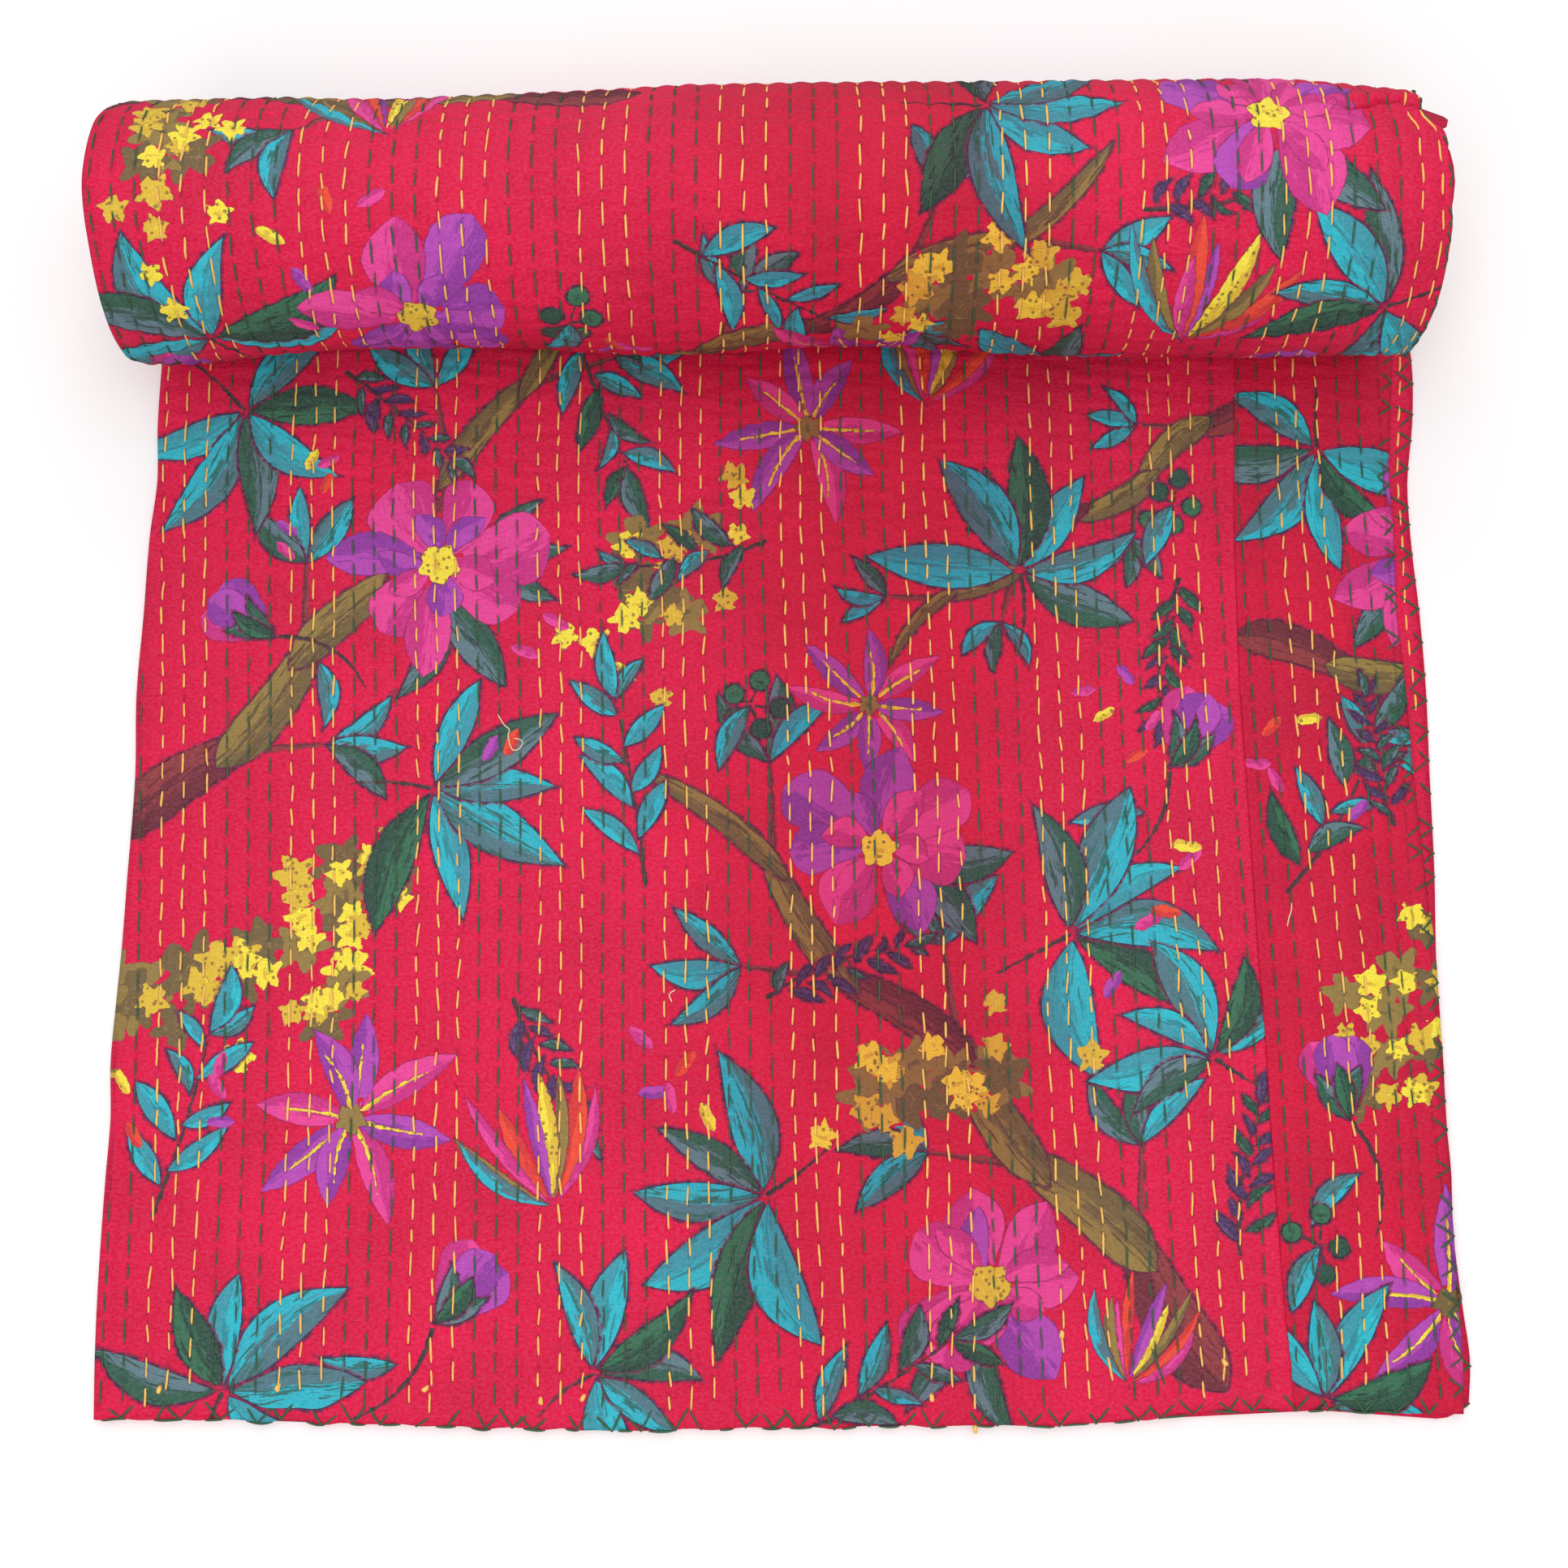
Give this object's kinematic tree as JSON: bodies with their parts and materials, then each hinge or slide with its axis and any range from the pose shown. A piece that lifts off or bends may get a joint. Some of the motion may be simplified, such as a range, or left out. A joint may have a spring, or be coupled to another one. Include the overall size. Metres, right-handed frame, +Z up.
{
  "type": "kantha quilt",
  "caption": "Cotton quilt folded in half along its length, its far part rolled up over itself and lying on the flat part, with a narrow panel seamed on along the open side.",
  "frame": {"origin": "on the floor under the middle of the quilt's bounding box", "axes": "+Z up, +Y from the front hem to the roll, +X from the folded side to the open side"},
  "size_m": [0.7685, 0.7569, 0.1488],
  "materials": {
    "printed_cotton": "matt printed cotton, quilted through in rows of running stitch",
    "printed_cotton_narrow": "matt printed cotton, quilted through in rows of running stitch",
    "printed_cotton_rolled": "matt printed cotton, quilted through in rows of running stitch"
  },
  "bodies": {
    "root": {"wide_panel": "printed_cotton", "narrow_panel": "printed_cotton_narrow", "roll": "printed_cotton_rolled"}
  },
  "joints": []
}
